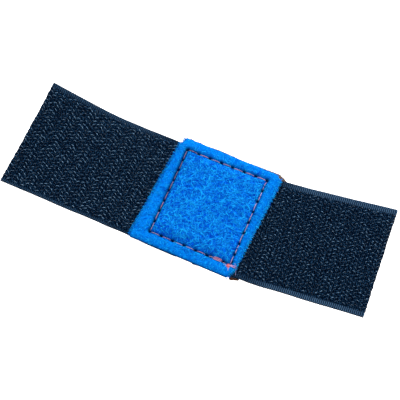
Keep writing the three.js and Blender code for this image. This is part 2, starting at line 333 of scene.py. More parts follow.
def tape_material():
    """Woven navy ground with painted shade between its weft ribs and warp cords; the selvages are
    painted paler.
    """
    look = Shader("hook_tape_weave", roughness=0.9)
    weft = look.wave("X", RIB_PITCH / MM)
    warp = look.wave("Y", 0.62)
    weave = look.math("MULTIPLY", weft, look.plus(0.6, warp, 0.4))
    speckle = look.ramp(look.noise(1.9, roughness=0.7), 0.38, 0.62)
    lit = look.math("MULTIPLY", look.ramp(weave, 0.2, 1.0), speckle)
    woven = look.mix(lit, srgb(0, 3, 13), srgb(18, 44, 74))
    flecks = look.ramp(look.noise(1.9, detail=1), 0.56, 0.64)
    ground = look.mix(flecks, woven, srgb(38, 70, 100))
    # Painted highlights on the selvage ribs' crests and painted shade in their grooves.
    rib = look.mix(look.ramp(weave, 0.3, 0.9), srgb(2, 14, 32), srgb(70, 100, 130))
    colour = look.mix(look.attribute("selvage"), ground, rib)
    mottle = look.ramp(look.noise(0.35, detail=3), 0.2, 0.8)
    look.paint(look.shade(colour, mottle, srgb(190, 200, 210)))
    look.bump(look.plus(weave, look.noise(5.0, detail=4), 0.5), 0.08 * MM)
    return look.material


def hook_material():
    """Dark nylon monofilament with a painted highlight over its bends, as strong as each hook's tint."""
    look = Shader("hook_monofilament", roughness=0.36, specular=0.55)
    tint = look.attribute("tint")
    dark = look.mix(tint, srgb(0, 7, 24), srgb(0, 24, 50))
    painted_light = look.mix(tint, srgb(2, 26, 50), srgb(112, 150, 182))
    look.paint(look.mix(look.ramp(look.attribute("shine_height"), 0.74, 0.96), dark, painted_light))
    return look.material


def pile_material():
    """Brushed blue loops under the loose strands, with painted shade along the seam's channel, in the
    needle holes and on the cut edge.
    """
    look = Shader("loop_pile_blue", roughness=1.0)
    coarse = look.noise(0.28)
    fine = look.noise(2.4, detail=4, roughness=0.7)
    mixed = look.plus(look.math("MULTIPLY", fine, 0.8), coarse, 0.2)
    inner = look.mix(look.ramp(mixed, 0.32, 0.66), srgb(0, 58, 184), srgb(0, 124, 250))
    border = look.mix(look.ramp(mixed, 0.28, 0.68), srgb(0, 78, 184), srgb(4, 134, 226))
    colour = look.mix(look.attribute("border"), inner, border)
    look.paint(look.mix(look.attribute("sunk_shade"), colour, SHADE_BLUE))
    speckle = look.noise(7.0, detail=3, roughness=0.7)
    look.bump(look.plus(fine, speckle, 0.6), 0.22 * MM)
    return look.material


def strand_material():
    """Loose loop fibres, from deep to pale blue, with the same painted shade along the seam and on the
    cut edge.
    """
    look = Shader("loop_strand_blue", roughness=0.9)
    colour = look.mix(look.attribute("tint"), srgb(0, 57, 200), srgb(25, 183, 255))
    look.paint(look.mix(look.attribute("sunk_shade"), colour, SHADE_BLUE))
    return look.material


def backing_material():
    """Tan plain weave with slubs, with painted brown shade along its near edge."""
    look = Shader("backing_canvas", roughness=0.95, specular=0.08)
    over = look.math("MULTIPLY", look.wave("X", 0.55), look.wave("Y", 0.55))
    colour = look.mix(look.ramp(over, 0.1, 0.9), srgb(62, 44, 34), srgb(142, 122, 104))
    slub = look.ramp(look.noise(0.9, detail=3, stretch=(1, 6, 1)), 0.25, 0.75)
    unshaded = look.shade(colour, slub, srgb(205, 196, 190))
    backing_shade = look.mix(over, srgb(52, 26, 14), srgb(104, 58, 32))
    look.paint(look.mix(look.attribute("backing_shade"), unshaded, backing_shade))
    look.bump(over, 0.12 * MM)
    return look.material


def thread_material():
    """Coral sewing thread, mixed towards pale lavender by each path's share, with painted shade where it
    goes down a hole.
    """
    look = Shader("coral_thread", roughness=0.55, specular=0.3)
    streak = look.ramp(look.noise(1.6, detail=3), 0.35, 0.65)
    coral = look.mix(streak, srgb(202, 70, 62), srgb(222, 116, 118))
    lavender = look.mix(look.attribute("lavender_share"), coral, srgb(178, 168, 218))
    look.paint(look.mix(look.attribute("thread_shade"), lavender, srgb(4, 14, 60)))
    return look.material


# --- meshes ---

def make_mesh(name, vertices, faces):
    mesh = bpy.data.meshes.new(name)
    mesh.from_pydata(np.asarray(vertices).tolist(), [], faces)
    mesh.update()
    mesh.shade_smooth()
    return mesh


def add_object(name, mesh):
    thing = bpy.data.objects.new(name, mesh)
    bpy.context.scene.collection.objects.link(thing)
    return thing


def make_object(name, vertices, faces, material):
    thing = add_object(name, make_mesh(name, vertices, faces))
    thing.data.materials.append(material)
    return thing


def store(thing, name, values):
    """Writes a number or a vector per vertex for the shaders to read."""
    values = np.asarray(values, np.float32)
    kind, field = ("FLOAT_VECTOR", "vector") if values.ndim == 2 else ("FLOAT", "value")
    attribute = thing.data.attributes.new(name, kind, "POINT")
    attribute.data.foreach_set(field, values.ravel())


def coordinates(thing):
    flat = np.zeros(len(thing.data.vertices) * 3, np.float32)
    thing.data.vertices.foreach_get("co", flat)
    return flat.reshape(-1, 3).astype(float)


def set_coordinates(thing, points):
    thing.data.vertices.foreach_set("co", np.asarray(points, np.float32).ravel())
    thing.data.update()


def unit(vectors):
    return vectors / np.linalg.norm(vectors, axis=-1, keepdims=True)


def tubes(paths, radii, sides):
    """Closed round tubes along paths of (count, steps, 3), with radii that fit (count, steps)."""
    paths = np.asarray(paths, float)
    count, steps, _ = paths.shape
    radii = np.broadcast_to(radii, (count, steps))
    tangents = unit(np.gradient(paths, axis=1))
    normal = np.cross(tangents[:, 0], (0.31, 0.52, 0.79))
    turn = np.arange(sides) * 2 * math.pi / sides
    rings = []
    for step in range(steps):
        tangent = tangents[:, step]
        normal = unit(normal - tangent * (normal * tangent).sum(1, keepdims=True))
        binormal = np.cross(tangent, normal)
        round_ = np.cos(turn)[:, None] * normal[:, None] + np.sin(turn)[:, None] * binormal[:, None]
        rings.append(paths[:, step, None] + radii[:, step, None, None] * round_)
    vertices = np.stack(rings, 1).reshape(-1, 3)
    index = np.arange(count * steps * sides).reshape(count, steps, sides)
    after = np.roll(index, -1, 2)
    walls = np.stack([index[:, :-1], after[:, :-1], after[:, 1:], index[:, 1:]], -1).reshape(-1, 4)
    caps = np.concatenate([index[:, 0, ::-1], index[:, -1]])
    return vertices, walls.tolist() + caps.tolist()


def join_parts(parts):
    """One vertex array and face list from several."""
    vertices, faces, start = [], [], 0
    for part_vertices, part_faces in parts:
        vertices.append(part_vertices)
        faces.extend([[i + start for i in face] for face in part_faces])
        start += len(part_vertices)
    return np.concatenate(vertices), faces


# --- hook tape ---

class Wing:
    """One hook tape, from its tucked-in end to its cut end, in the CAD frame."""

    def __init__(self, side):
        self.side = side
        joints = [joint for joint in frame["joints"] if joint["name"].startswith(side)]
        axis = np.array(joints[0]["axis"], float)
        hinges = np.array([joint["pos_m"] for joint in joints])
        edge = PILE_LOW.x if side == "left" else PILE_HIGH.x
        self.along = np.cross((0, 0, 1), axis)
        self.across = axis if axis[1] > 0 else -axis
        first = (hinges[0][0] - edge) / self.along[0]
        self.origin = (hinges[0] - self.along * first) * (1, 1, 0)
        self.bodies = [joints[0]["parent"]] + [joint["child"] for joint in joints]
        self.hinge_s = (hinges - self.origin) @ self.along
        tucked = self.measure("tape_sewn_end")
        last = self.measure(f"tape_band_{len(joints)}")
        self.inner, self.outer = tucked[:, 0].min(), last[:, 0].max() + END_SPARE[side]
        self.half_width = last[:, 1].max()
        self.under, self.top = last[:, 2].min(), last[:, 2].max()
        pitch = self.hinge_s[1] - self.hinge_s[0]
        joins = [self.hinge_s[0] - FIRST_BEND, *(self.hinge_s[:-1] + pitch / 2), self.outer]
        self.spans = [(self.inner, joins[0]), *zip(joins[:-1], joins[1:])]
        self.bend_reach = [FIRST_BEND] + [pitch / 2] * (len(joints) - 1)
        bands = [(f"tape_band_{i}", f"hook_band_{i}") for i in range(1, len(self.spans))]
        self.nodes = [("tape_sewn_end", "tape_sewn_hooks"), *bands]

    def measure(self, node):
        """A CAD node's vertices as (s, w, z)."""
        points = coordinates(frame["nodes"][f"{self.side}_{node}"]) - self.origin
        return np.stack([points @ self.along, points @ self.across, points[:, 2]], 1)

    def lift(self, s, far_share):
        """The left wing's far outer corner is curled up; the right wing is twisted, far edge up."""
        curve_along, curve_across = LIFT_CURVE[self.side]
        rise = np.clip((s - LIFT_START[self.side]) / LIFT_LENGTH[self.side], 0, LIFT_MOST[self.side])
        return LIFT[self.side] * rise ** curve_along * np.clip(far_share, 0, 1) ** curve_across

    def place(self, s, w, z):
        """Where points of the flat tape are once it is drawn aside, dropped and lifted."""
        s, w, z = np.broadcast_arrays(s, w, z)
        far_share = (w / self.half_width + 1) / 2
        settle = TABLE_DROP[self.side] * smoothstep(0, TABLE_DROP_LENGTH, s) * (1 - far_share)
        height = z - settle + self.lift(s, far_share)
        drawn_in = SEWN_SHIFT[self.side] * smoothstep(0, SEWN_SHIFT_LENGTH, -s) * (1 - far_share)
        flat = self.origin + s[..., None] * self.along + (w + drawn_in)[..., None] * self.across
        flat[..., 2] = height
        return flat

    def attach(self, piece, span):
        """Parents the first span's piece to the tape's first body; a later span's piece only has its
        transform baked.
        """
        if span == 0:
            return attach(piece, self.bodies[0])
        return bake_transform(piece)


WINGS = (Wing("left"), Wing("right"))


def tape_section(wing):
    """Across one tape from its near edge: w, top z, bottom z and how much is selvage."""
    half, bead = wing.half_width, (wing.top - wing.under) / 2
    turn = np.linspace(0.93 * math.pi, math.pi / 2, EDGE_COLUMNS + 1)[:-1]
    edge_w, edge_z = bead * np.cos(turn) - half + bead, bead * np.sin(turn)
    w = np.concatenate([edge_w, np.linspace(bead - half, half - bead, GROUND_COLUMNS), -edge_w[::-1]])
    near, far = SELVAGES[wing.side]
    selvage = 1 - step_at(near - half, SELVAGE_BLUR, w) + step_at(half - far, SELVAGE_BLUR, w)
    rise = bead - FIELD_DROP * (1 - selvage)
    fall = np.full_like(w, bead)
    for reach in (slice(0, EDGE_COLUMNS), slice(-1, -1 - EDGE_COLUMNS, -1)):
        rise[reach] = fall[reach] = edge_z
    middle = wing.under + bead
    return w, middle + rise, middle - fall, selvage


def end_cap(ring):
    """Faces across a ring of vertices that goes out along one side and back along the other."""
    return [[ring[i], ring[i + 1], ring[-2 - i], ring[-1 - i]] for i in range(len(ring) // 2 - 1)]


def tape_ground(wing, span, material):
    """One span of the woven ground, closed, with its weft ribs as real grooves."""
    low, high = wing.spans[span]
    count = max(2, round((high - low) / RIB_PITCH * RIB_STEPS))
    s = np.linspace(low, high, count + 1)
    w, top, bottom, selvage = tape_section(wing)
    middle = (top + bottom) / 2
    rib = 1 - np.abs(np.sin(math.pi * s / RIB_PITCH)) ** 0.7
    groove = rib[:, None] * (GROUND_RIB_DEPTH + (RIB_DEPTH - GROUND_RIB_DEPTH) * selvage)
    share = 1 - np.clip(2 * groove / np.maximum(top - bottom, 0.1 * MM), 0, 0.6)
    wobble = EDGE_WOBBLE * value_noise(s[:, None], np.sign(w) * 9 * MM, 6 * MM, 3)
    bulge = w + np.sign(w) * selvage * (0.07 * MM - 0.6 * groove) + wobble * selvage
    cut = np.where(np.isclose(s, wing.outer), 1.0, 0.0)[:, None]
    ragged_s = s[:, None] + cut * RAGGED_END * value_noise(w, w * 0, 0.9 * MM, 5)
    upper = wing.place(ragged_s, bulge, middle + (top - middle) * share)
    lower = wing.place(ragged_s, bulge, middle + (bottom - middle) * share)
    rings = np.concatenate([upper, lower[:, ::-1]], 1)
    index = np.arange(rings[..., 0].size).reshape(rings.shape[:2])
    after = np.roll(index, -1, 1)
    walls = np.stack([index[:-1], index[1:], after[1:], after[:-1]], -1).reshape(-1, 4)
    faces = walls.tolist() + end_cap(index[0]) + [face[::-1] for face in end_cap(index[-1])]
    if wing.side == "left":
        faces = [face[::-1] for face in faces]
    ground = make_object(f"{wing.side}_tape_{span}", rings.reshape(-1, 3), faces, material)
    cloth_w = np.concatenate([w, w[::-1]])
    cloth = np.stack(np.broadcast_arrays(s[:, None], cloth_w, 0 * cloth_w), -1).reshape(-1, 3)
    store(ground, "cloth_mm", cloth / MM)
    columns = np.arange(len(w))
    rim = np.minimum(columns, columns[::-1])
    # The selvages' painted paleness and rib highlights, scaled by SELVAGE_CONTRAST, cut down on the edge
    # bead as painted shade.
    painted_light = selvage * SELVAGE_CONTRAST[wing.side] * np.where(rim < EDGE_COLUMNS - 1, 0.15, 1.0)
    # Painted shade on the selvages near the patch, falling away from 2 to 16 mm past it.
    lit_past_patch = 0.25 + 0.75 * smoothstep(2 * MM, 16 * MM, s)
    store(ground, "selvage", np.outer(lit_past_patch, np.concatenate([painted_light, painted_light[::-1]])).ravel())
    return ground


def hook_outline(width):
    """A hook's wire and its cut leg's stump: (forward, up) and shine height, in hook heights."""
    reach = width / HOOK_HEIGHT / 2
    rise = 0.36
    bend = np.radians(np.linspace(180, -32, 10))
    arch = np.stack([reach * np.cos(bend), 1 - rise + rise * np.sin(bend)], 1)
    leg = [(-reach * 0.75, -0.12), (-reach * 0.9, 0.25), (-reach, 0.48)]
    wire = np.concatenate([leg, arch, [arch[-1] + (-0.09, -0.13)]])
    stump = np.array([(reach * 0.9, -0.12), (reach * 1.1, 0.2), (reach * 1.2, 0.5)])
    return (wire, wire[:, 1]), (stump, [*stump[:-1, 1], CUT_FACE_SHINE])


def hook_roots(wing, low, high):
    """Roots of the hooks between two places along the tape, as (s, w, row number)."""
    near, far = SELVAGES[wing.side]
    spare = HOOK_WIDTH[wing.side] / 2
    first, last = near - wing.half_width + spare, wing.half_width - far - spare
    roots = []
    for row in range(math.ceil(low / ROW_PITCH), math.ceil(high / ROW_PITCH)):
        shift = COLUMN_PITCH / 2 if row % 2 else 0
        w = np.arange(first + shift, last, COLUMN_PITCH)
        roots.append(np.stack([np.full_like(w, row * ROW_PITCH), w, np.full_like(w, row)], 1))
    return np.concatenate(roots)


def hooks(wing, span, material):
    """One span's field of monofilament hooks, crushed flat where the patch covers them."""
    low, high = wing.spans[span]
    roots = hook_roots(wing, low, min(high, wing.outer - HOOK_END_MARGIN))
    count = len(roots)
    row_kind = roots[:, 2].astype(int) % len(ROW_HEADINGS)
    heading = np.radians(np.take(ROW_HEADINGS, row_kind))
    heading = heading + rng.normal(0, HOOK_DISORDER[wing.side], count)
    size = HOOK_HEIGHT * rng.normal(1, 0.06, count)
    sway = rng.normal(0, 0.12, count)
    # Each hook's tint is how strong its painted highlight is, strongest on the glossy rows, one in four.
    glossy = np.where(row_kind == 0, GLOSSY_ROWS[wing.side], 0)
    tint = GLINT[wing.side] * (glossy + (1 - glossy) * rng.uniform(0, 1, count) ** 2)
    root_s, root_w = roots[:, :2].T + rng.normal(0, ROOT_DISORDER, (2, count))
    x, y, _ = wing.place(root_s, root_w, wing.top).T
    covered = (x > PILE_LOW.x - CRUSHED_MARGIN) & (x < PILE_HIGH.x + CRUSHED_MARGIN)
    squash = np.where(covered & (y < PILE_HIGH.y), CRUSHED_SHARE, 1.0)
    forward_s, forward_w = np.cos(heading)[:, None], np.sin(heading)[:, None]
    parts, heights, glint_strengths = [], [], []
    for outline, shown in hook_outline(HOOK_WIDTH[wing.side]):
        forward, up = outline.T
        ahead, aside = np.outer(size, forward), np.outer(size * sway, up)
        s = root_s[:, None] + ahead * forward_s - aside * forward_w
        w = root_w[:, None] + ahead * forward_w + aside * forward_s
        paths = wing.place(s, w, wing.top - FIELD_DROP + np.outer(size * squash, up))
        radii = np.full(len(up), WIRE_RADIUS)
        radii[-1] *= 0.75
        parts.append(tubes(paths, radii, WIRE_SIDES))
        heights.append(np.repeat(np.tile(shown, count), WIRE_SIDES))
        # Painted glints that vary from ring to ring along the wire.
        varied = tint[:, None] + rng.normal(0, GLINT_SPREAD[wing.side], (count, len(up)))
        glint_strengths.append(np.repeat(varied.clip(0, 1), WIRE_SIDES))
    vertices, faces = join_parts(parts)
    field = make_object(f"{wing.side}_hooks_{span}", vertices, faces, material)
    store(field, "shine_height", np.concatenate(heights))
    store(field, "tint", np.concatenate(glint_strengths))
    return field


def build_wings():
    """Shows each span of a tape in place of the CAD nodes that it stands for."""
    ground_material, wire_material = tape_material(), hook_material()
    for wing in WINGS:
        for span, nodes in enumerate(wing.nodes):
            ground = tape_ground(wing, span, ground_material)
            field = hooks(wing, span, wire_material)
            for piece, slot, node in zip((ground, field), ("hook_tape", "hooks"), nodes):
                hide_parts(f"{wing.side}_{node}")
                wing.attach(piece, span)


# --- seam ---

def needle_holes():
    """The needle holes in sewing order, read off where the CAD needle thread turns back."""
    points = coordinates(frame["nodes"]["needle_thread"])
    low = points[points[:, 2] < points[:, 2].min() + 0.25 * MM, :2]
    same_hole = np.linalg.norm(low[:, None] - low, axis=2) < 1.2 * MM
    holes = np.unique([low[near].mean(0) for near in same_hole], axis=0)
    middle = holes.mean(0)
    angle = np.arctan2(holes[:, 1] - middle[1], holes[:, 0] - middle[0])
    first = np.argmax(holes[:, 0] - holes[:, 1])
    return holes[np.argsort((angle - angle[first] + 1e-6) % (2 * math.pi))]


HOLES = needle_holes()
NEXT_HOLES = np.roll(HOLES, -1, 0)


def hole_share(points):
    """1 in the middle of a needle hole, falling to 0 round its slot."""
    along = unit(NEXT_HOLES - np.roll(HOLES, 1, 0))
    arrive, leave = unit(HOLES[0] - HOLES[-1]), unit(HOLES[1] - HOLES[0])
    along = np.vstack([along, arrive, arrive, leave])
    holes = np.vstack([HOLES, HOLES[0] + np.array(TACK_HOLES) * MM])
    offset = points[:, None, :2] - holes[None]
    nearest = np.argmin((offset ** 2).sum(2), 1)
    offset, along = offset[np.arange(len(points)), nearest], along[nearest]
    lengthwise = (offset * along).sum(1) / HOLE_LENGTH
    crosswise = (offset[:, 0] * along[:, 1] - offset[:, 1] * along[:, 0]) / HOLE_REACH
    return np.exp(-lengthwise ** 2 - crosswise ** 2)


def distance_to_loop(points, corners):
    """How far points are from a closed line through the corners, seen from above."""
    points = points[:, :2]
    best = np.full(len(points), np.inf)
    for a, b in zip(corners, np.roll(corners, -1, 0)):
        edge = b - a
        t = np.clip(((points - a) @ edge) / (edge @ edge), 0, 1)
        best = np.minimum(best, np.linalg.norm(points - (a + t[:, None] * edge), axis=1))
    return best


def distance_to_seam(points):
    return distance_to_loop(points, HOLES)


def left_side_share(points):
    """1 along the patch's left side, falling to 0 a fifth of the way across: where the seam gets the
    most painted shade.
    """
    left, right = HOLES[:, 0].min(), HOLES[:, 0].max()
    return 1 - smoothstep(left, left + 0.2 * (right - left), points[:, 0])


def seam_shade_share(points):
    """Painted shade on the pile along the seam's channel, deeper along the left side, most of all in the
    needle holes.
    """
    left_side = left_side_share(points)
    reach = CHANNEL_SHADE_REACH * (1 + 0.6 * left_side)
    channel = (CHANNEL_SHADE + 0.2 * left_side) * np.exp(-((distance_to_seam(points) / reach) ** 2))
    return np.maximum(channel, np.minimum(DARKEST, HOLE_SHADE * hole_share(points)))


def edge_shade(points):
    """How dark the patch's cut edge is: darker lower down, most of all on the near side."""
    near = 1 - smoothstep(PLY_LOW.y, PLY_LOW.y + 5 * MM, points[:, 1])
    above = smoothstep(PLY_HIGH.z, PLY_HIGH.z + EDGE_SHADE_HEIGHT, points[:, 2])
    return (EDGE_SHADE + NEAR_EDGE_SHADE * near) * (1 - above)


def within_seam(points):
    """Whether the seam goes round points, seen from above."""
    points = points[:, :2]
    inside = np.ones(len(points), bool)
    for a, b in zip(HOLES, NEXT_HOLES):
        edge, offset = b - a, points - a
        inside &= edge[0] * offset[:, 1] - edge[1] * offset[:, 0] > -0.4 * MM * np.linalg.norm(edge)
    return inside


# --- loop patch ---

def outline_of(node):
    """A CAD slab's outline, anticlockwise from above."""
    points = np.unique(coordinates(frame["nodes"][node])[:, :2].round(7), axis=0)
    hull = points[convex_hull_2d(points.tolist())]
    after = np.roll(hull, -1, 0)
    turn = (hull[:, 0] * after[:, 1] - hull[:, 1] * after[:, 0]).sum()
    return hull if turn > 0 else hull[::-1]


PATCH_OUTLINE = outline_of("loop_patch_ground")


def sheet(name, outline, cell, height):
    """A flat grid trimmed to an outline."""
    low, high = outline.min(0), outline.max(0)
    counts = np.ceil((high - low) / cell).astype(int)
    grid = bmesh.new()
    bmesh.ops.create_grid(grid, x_segments=int(counts[0]), y_segments=int(counts[1]), size=0.5)
    middle, size = (low + high) / 2, high - low
    for vertex in grid.verts:
        vertex.co = (middle[0] + vertex.co.x * size[0], middle[1] + vertex.co.y * size[1], height)
    for a, b in zip(outline, np.roll(outline, -1, 0)):
        outwards = Vector((b[1] - a[1], a[0] - b[0], 0))
        geometry = grid.verts[:] + grid.edges[:] + grid.faces[:]
        bmesh.ops.bisect_plane(
            grid, geom=geometry, plane_co=(*a, height), plane_no=outwards, dist=1e-7, clear_outer=True
        )
    bmesh.ops.remove_doubles(grid, verts=grid.verts[:], dist=0.12 * MM)
    mesh = bpy.data.meshes.new(name)
    grid.to_mesh(mesh)
    grid.free()
    return add_object(name, mesh)


def apply_modifiers(thing):
    dependencies = bpy.context.evaluated_depsgraph_get()
    mesh = bpy.data.meshes.new_from_object(thing.evaluated_get(dependencies))
    thing.modifiers.clear()
    thing.data = mesh


def settle_cloth(thing, pinned, pressure, slack):
    """Cloth simulation of a sheet held at its pinned vertices, done SIM_SCALE times larger."""
    set_coordinates(thing, coordinates(thing) * SIM_SCALE)
    group = thing.vertex_groups.new(name="held")
    for index, weight in enumerate(pinned):
        if weight > 0:
            group.add([index], float(weight), "REPLACE")
    cloth = thing.modifiers.new("cloth", "CLOTH")
    settings = cloth.settings
    settings.quality = 7
    settings.mass = 0.3
    settings.tension_stiffness = settings.compression_stiffness = 18
    settings.shear_stiffness = 8
    settings.bending_stiffness = 3
    settings.air_damping = 4
    settings.vertex_group_mass = "held"
    settings.shrink_min = -slack
    settings.use_pressure = True
    settings.uniform_pressure_force = pressure
    settings.effector_weights.gravity = 0
    cloth.collision_settings.use_collision = False
    cloth.point_cache.frame_start, cloth.point_cache.frame_end = 1, SIM_FRAMES
    scene = bpy.context.scene
    for number in range(1, SIM_FRAMES + 1):
        scene.frame_set(number)
    apply_modifiers(thing)
    thing.vertex_groups.clear()
    set_coordinates(thing, coordinates(thing) / SIM_SCALE)
    scene.frame_set(1)


def close_below(thing, material, bottom, bulge, tuck):
    """Closes a sheet with a soft bulging side wall and an underside; gives its points."""
    points = coordinates(thing)
    count = len(points)
    faces = [list(face.vertices) for face in thing.data.polygons]
    edges = dict.fromkeys((a, b) for face in faces for a, b in zip(face, face[1:] + face[:1]))
    rim = [(a, b) for a, b in edges if (b, a) not in edges]
    outwards = np.zeros((count, 2))
    for a, b in rim:
        side = points[b, :2] - points[a, :2]
        normal = np.array([side[1], -side[0]]) / (np.linalg.norm(side) + 1e-12)
        outwards[a] += normal
        outwards[b] += normal
    starts = sorted({a for a, _ in rim})
    direction = unit(outwards[starts] + 1e-12)
    bottom = np.broadcast_to(bottom, count)
    under = np.column_stack([points[:, :2], bottom])
    under[starts, :2] -= tuck * direction
    side = points[starts].copy()
    side[:, :2] += bulge * direction
    side[:, 2] = 0.45 * points[starts, 2] + 0.55 * bottom[starts]
    faces += [[i + count for i in reversed(face)] for face in faces]
    middle = {vertex: 2 * count + i for i, vertex in enumerate(starts)}
    for a, b in rim:
        faces.append([a, middle[a], middle[b], b])
        faces.append([middle[a], a + count, b + count, middle[b]])
    thing.data = make_mesh(thing.name, np.concatenate([points, under, side]), faces)
    thing.data.materials.append(material)
    points = coordinates(thing)
    store(thing, "cloth_mm", points / MM)
    return points


def patch_relief(points):
    """Top height of the patch: rolled edges, a puffed centre and the seam's channel."""
    seam, edge = distance_to_seam(points), distance_to_loop(points, PATCH_OUTLINE)
    roll = 1 - np.clip(edge / EDGE_ROLL, 0, 1)
    puff = within_seam(points) * smoothstep(0, PUFF_REACH, seam)
    height = PILE_HIGH.z - EDGE_DROP * (1 - np.sqrt(1 - roll ** 2))
    return height + PUFF * puff - CHANNEL_DEPTH * np.exp(-((seam / CHANNEL_REACH) ** 2))


def sag_between_tapes(points, edge):
    """How far the patch's underside sags to the backing between the tapes' hidden ends."""
    past_end = np.min([wing.inner - (points - wing.origin) @ wing.along for wing in WINGS], 0)
    depth = PLY_LOW.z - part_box("backing_patch")[1].z
    return depth * smoothstep(-0.1 * MM, 0.4 * MM, past_end) * smoothstep(2 * MM, 4 * MM, edge)


def fray_patch(points, edge):
    """Naps the patch, sinks its needle holes and draws its cut edge in and out."""
    x, y, z = points.T
    nap = 0.07 * MM * value_noise(x, y, 0.9 * MM, 11) + 0.06 * MM * value_noise(x, y, 0.45 * MM, 12)
    z += nap * smoothstep(0.1 * MM, 0.6 * MM, distance_to_seam(points))
    z -= HOLE_DEPTH * hole_share(points)
    tufts = 0.45 * MM * value_noise(x, y, 0.7 * MM, 13) + 0.24 * MM * value_noise(x, y, 2.2 * MM, 14)
    rim = 1 - smoothstep(0, 0.4 * MM, edge)
    x += rim * tufts * np.sign(x) * (np.abs(x) / np.abs(x).max() > 0.86)
    towards_far = np.where(y < 0, NEAR_TUCK, FAR_SWELL)
    y += rim * towards_far * (1 - smoothstep(0.8, 0.97, np.abs(x) / np.abs(x).max()))


def loop_patch(material):
    """The blue patch: a sheet in relief, settled as cloth, frayed, and closed below."""
    patch = sheet("loop_patch", PATCH_OUTLINE, PATCH_CELL, 0)
    points = coordinates(patch)
    points[:, 2] = patch_relief(points)
    set_coordinates(patch, points)
    held = np.where(distance_to_seam(points) < 0.5 * MM, 1.0, 0.0)
    held[distance_to_loop(points, PATCH_OUTLINE) < 0.3 * MM] = 0.7
    settle_cloth(patch, held, pressure=1.2, slack=0.012)
    set_coordinates(patch, points + np.clip(coordinates(patch) - points, -CROWN, CROWN))
    patch.modifiers.new("fine", "SUBSURF").levels = 1
    apply_modifiers(patch)
    points = coordinates(patch)
    edge = distance_to_loop(points, PATCH_OUTLINE)
    fray_patch(points, edge)
    set_coordinates(patch, points)
    underside = PLY_LOW.z - sag_between_tapes(points, edge)
    points = close_below(patch, material, underside, 0.1 * MM, 0.5 * MM)
    store(patch, "border", ~within_seam(points))
    store(patch, "sunk_shade", np.maximum(seam_shade_share(points), edge_shade(points)))
    return patch


def surface_height(thing):
    """A function for a piece's top height at (x, y) points, or nan beside the piece."""
    tree = BVHTree.FromObject(thing, bpy.context.evaluated_depsgraph_get())
    _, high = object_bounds()

    def height(points):
        down = Vector((0, 0, -1))
        hits = [tree.ray_cast(Vector((x, y, high.z + 1)), down)[0] for x, y in points]
        return np.array([hit.z if hit else np.nan for hit in hits])

    return height


def wandering(roots, headings, lengths, steps, wander):
    """Flat paths (count, steps, 2) that set out in a direction and stray from it."""
    count = len(roots)
    turns = np.cumsum(rng.normal(0, wander, (count, steps)), 1)
    angle = headings[:, None] + turns
    stride = (lengths / steps)[:, None, None] * np.stack([np.cos(angle), np.sin(angle)], 2)
    return roots[:, None] + np.cumsum(stride, 1)


def lying_strands(height, flat, radii, lift):
    """Tubes along flat paths over a surface, less those that leave it. Ranges are in mm."""
    count, steps, _ = flat.shape
    radii = rng.uniform(*radii, count) * MM
    lift = rng.uniform(*lift, count) * MM
    z = height(flat.reshape(-1, 2)).reshape(count, steps)
    kept = ~np.isnan(z).any(1)
    bow = np.sin(math.pi * np.linspace(0.05, 0.95, steps))
    z = z[kept] + lift[kept, None] * bow
    paths = np.concatenate([flat[kept], z[..., None]], 2)
    return tubes(paths, radii[kept, None] * (0.55 + 0.45 * bow), STRAND_SIDES)


def random_spots(count, clearance, inside):
    """Random (x, y) points of the patch's box, clear of the seam and on one side of it."""
    spots = rng.uniform(PATCH_OUTLINE.min(0), PATCH_OUTLINE.max(0), (count, 2))
    return spots[(distance_to_seam(spots) > clearance) & (within_seam(spots) == inside)]


def felt_strands(height):
    """Matted long fibres inside the seam."""
    spots = random_spots(FELT_STRANDS, 0.35 * MM, True)
    lengths = rng.uniform(1.8, 6.5, len(spots)) * MM
    headings = rng.uniform(0, 2 * math.pi, len(spots))
    flat = wandering(spots, headings, lengths, FELT_STEPS, 0.45)
    return lying_strands(height, flat, (0.05, 0.16), (0.05, 0.45))


def brushed_strands(height):
    """Shorter fibres in the border, brushed away from the seam."""
    spots = random_spots(BRUSHED_STRANDS, 0.6 * MM, False)
    away = spots - HOLES[np.argmin(((spots[:, None] - HOLES) ** 2).sum(2), 1)]
    headings = np.arctan2(away[:, 1], away[:, 0]) + rng.normal(0, 0.8, len(spots))
    lengths = rng.uniform(0.7, 2.0, len(spots)) * MM
    flat = wandering(spots, headings, lengths, BRUSHED_STEPS, 0.3)
    return lying_strands(height, flat, (0.04, 0.09), (0.03, 0.18))


def edge_strands(height):
    """Fuzz that stands out of the patch's cut edge."""
    corners = np.roll(PATCH_OUTLINE, -1, 0)
    lengths = np.linalg.norm(corners - PATCH_OUTLINE, axis=1)
    side = rng.choice(len(corners), EDGE_STRANDS, p=lengths / lengths.sum())
    share = rng.uniform(0, 1, (EDGE_STRANDS, 1))
    along = unit(corners - PATCH_OUTLINE)[side]
    inwards = np.column_stack([-along[:, 1], along[:, 0]])
    spots = PATCH_OUTLINE[side] * (1 - share) + corners[side] * share + 0.45 * MM * inwards
    top = height(spots)
    share_kept = np.select([np.abs(inwards[:, 0]) > 0.8, inwards[:, 1] < 0], [1.0, 0.08], 0.0)
    kept = ~np.isnan(top) & (rng.uniform(0, 1, EDGE_STRANDS) < share_kept)
    count = kept.sum()
    z = PLY_LOW.z + (top[kept] - PLY_LOW.z) * rng.uniform(0.3, 0.98, count)
    headings = np.arctan2(-inwards[kept, 1], -inwards[kept, 0]) + rng.normal(0, 0.7, count)
    lengths = rng.uniform(0.7, 1.9, count) * MM
    flat = wandering(spots[kept], headings, lengths, EDGE_STEPS, 0.35)
    droop = rng.normal(-0.1, 0.2, count)[:, None] * MM * np.linspace(0, 1, EDGE_STEPS) ** 2
    paths = np.concatenate([flat, (z[:, None] + droop)[..., None]], 2)
    return tubes(paths, rng.uniform(0.05, 0.1, (count, 1)) * MM, STRAND_SIDES)


